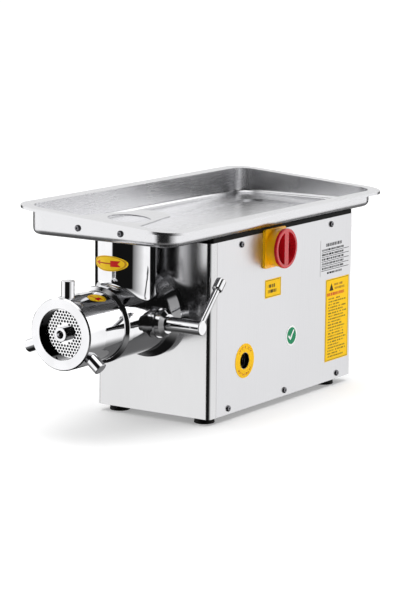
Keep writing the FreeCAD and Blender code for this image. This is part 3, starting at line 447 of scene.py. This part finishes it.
# ---- studio -------------------------------------------------------------------------
FLOOR_RADIUS, FLOOR_EDGE = 0.95, 40.0          # the floor under the machine, and round it
BOX_FOOT = (-0.52, -0.34)                      # the soft boxes fade in over these heights
RIGHT_BOX_TOP, LEFT_BOX_TOP = (0.50, 0.62), (0.68, 0.80)
EDGE_SOFTNESS = 3                              # degrees, either side of a soft box's edge


def set_floor():
    """Pale floor in two pieces, which mirrors don't show."""
    floor_material, _, shader = new_material("pale studio floor", Roughness=0.9, Specular_IOR_Level=0.0,
                                             Emission_Strength=0.26)
    shader.inputs["Base Color"].default_value = colour("F0F0F0")
    shader.inputs["Emission Color"].default_value = (1, 1, 1, 1)
    bpy.ops.object.select_all(action="DESELECT")
    bpy.ops.mesh.primitive_circle_add(vertices=96, radius=FLOOR_RADIUS, fill_type="NGON")
    near_floor = bpy.context.object
    near_floor.name = "studio_floor_near"
    bpy.ops.mesh.primitive_circle_add(vertices=96, radius=FLOOR_RADIUS, fill_type="NOTHING")
    far_floor = bpy.context.object
    far_floor.name = "studio_floor_far"
    bpy.ops.object.mode_set(mode="EDIT")
    bpy.ops.mesh.select_all(action="SELECT")
    bpy.ops.mesh.extrude_edges_move(TRANSFORM_OT_translate={"value": (0, 0, 0)})
    growth = FLOOR_EDGE / FLOOR_RADIUS
    bpy.ops.transform.resize(value=(growth, growth, 1), center_override=(0, 0, 0))
    bpy.ops.mesh.normals_make_consistent(inside=False)
    bpy.ops.object.mode_set(mode="OBJECT")
    for floor in (near_floor, far_floor):
        floor.data.materials.append(floor_material)
        floor.visible_glossy = False


def soft_step(tree, value, low, high, first=0.0, last=1.0):
    """Goes smoothly from the first strength at low to the last one at high."""
    return add_node(tree, "ShaderNodeMapRange",
                    [(0, value), (1, low), (2, high), (3, first), (4, last)],
                    interpolation_type="SMOOTHSTEP").outputs[0]


def between(tree, value, low, high, soft):
    """Mask of the bearings between two angles in degrees, with soft edges."""
    low, high, soft = (math.radians(angle) for angle in (low, high, soft))
    return both(tree, soft_step(tree, value, low - soft, low + soft),
                soft_step(tree, value, high - soft, high + soft, 1.0, 0.0))


def set_surroundings():
    """Soft boxes left, right, behind and overhead, with dark gaps between them."""
    world = bpy.data.worlds.new("studio")
    bpy.context.scene.world = world
    world.use_nodes = True
    tree = world.node_tree
    tree.nodes.clear()
    direction = add_node(tree, "ShaderNodeTexCoord").outputs["Generated"]
    # Turned so that the X axis of the pattern points at the camera, Y to the camera's right.
    turned = add_node(tree, "ShaderNodeVectorRotate",
                      [("Vector", direction), ("Angle", math.radians(90 - CAMERA_TURN))],
                      rotation_type="Z_AXIS").outputs[0]
    ahead, beside, height = add_node(tree, "ShaderNodeSeparateXYZ", [(0, turned)]).outputs
    bearing = add_node(tree, "ShaderNodeMath", [(0, beside), (1, ahead)],
                       operation="ARCTAN2").outputs[0]
    away = add_node(tree, "ShaderNodeMath", [(0, bearing)], operation="ABSOLUTE").outputs[0]

    over_foot = soft_step(tree, height, *BOX_FOOT)
    left_side = both(tree, between(tree, bearing, -128, -51, EDGE_SOFTNESS), 1.25)
    left_heights = both(tree, over_foot, soft_step(tree, height, *LEFT_BOX_TOP, 1.0, 0.0))
    # The right box brightens from its front edge towards its back.
    brightness = ramp(tree, bearing, 0.22, 1.2, math.radians(30), math.radians(74))
    right_side = both(tree, between(tree, bearing, 28, 127, EDGE_SOFTNESS), brightness)
    right_heights = both(tree, over_foot, soft_step(tree, height, *RIGHT_BOX_TOP, 1.0, 0.0))
    behind = between(tree, away, 112, 200, 2 * EDGE_SOFTNESS)
    lights = [
        both(tree, left_side, left_heights),
        both(tree, right_side, right_heights),
        both(tree, behind, soft_step(tree, height, -0.06, 0.04, 0.0, 0.92)),
        soft_step(tree, height, 0.80, 0.90, 0.0, 1.5),
        both(tree, soft_step(tree, height, *BOX_FOOT, 1.0, 0.0),
             soft_step(tree, height, -0.95, -0.55, 0.0, 0.24)),
    ]
    darkest, brightest = 0.008, 1.9
    total = darkest
    for light in lights:
        total = add_node(tree, "ShaderNodeMath", [(0, total), (1, light)], operation="ADD").outputs[0]
    strength = add_node(tree, "ShaderNodeMath", [(0, total), (1, brightest)],
                        operation="MINIMUM").outputs[0]
    background = add_node(tree, "ShaderNodeBackground", [("Color", (1, 1, 1, 1)), ("Strength", strength)])
    add_node(tree, "ShaderNodeOutputWorld", [("Surface", background.outputs[0])])
    bpy.context.scene.view_settings.view_transform = "Standard"


def set_ceiling():
    """Broad soft light from above for the floor, the plastics and the labels only."""
    lamp = bpy.data.lights.new("studio_ceiling", "AREA")
    lamp.shape, lamp.size, lamp.energy = "DISK", 4.5, 60.0
    ceiling = bpy.data.objects.new("studio_ceiling", lamp)
    ceiling.location = (CABINET_MIDDLE + 0.3, CABINET_LOW.y - 0.4, 3.2)
    ceiling.visible_glossy = False
    bpy.context.scene.collection.objects.link(ceiling)


set_camera()
set_floor()
set_surroundings()
set_ceiling()
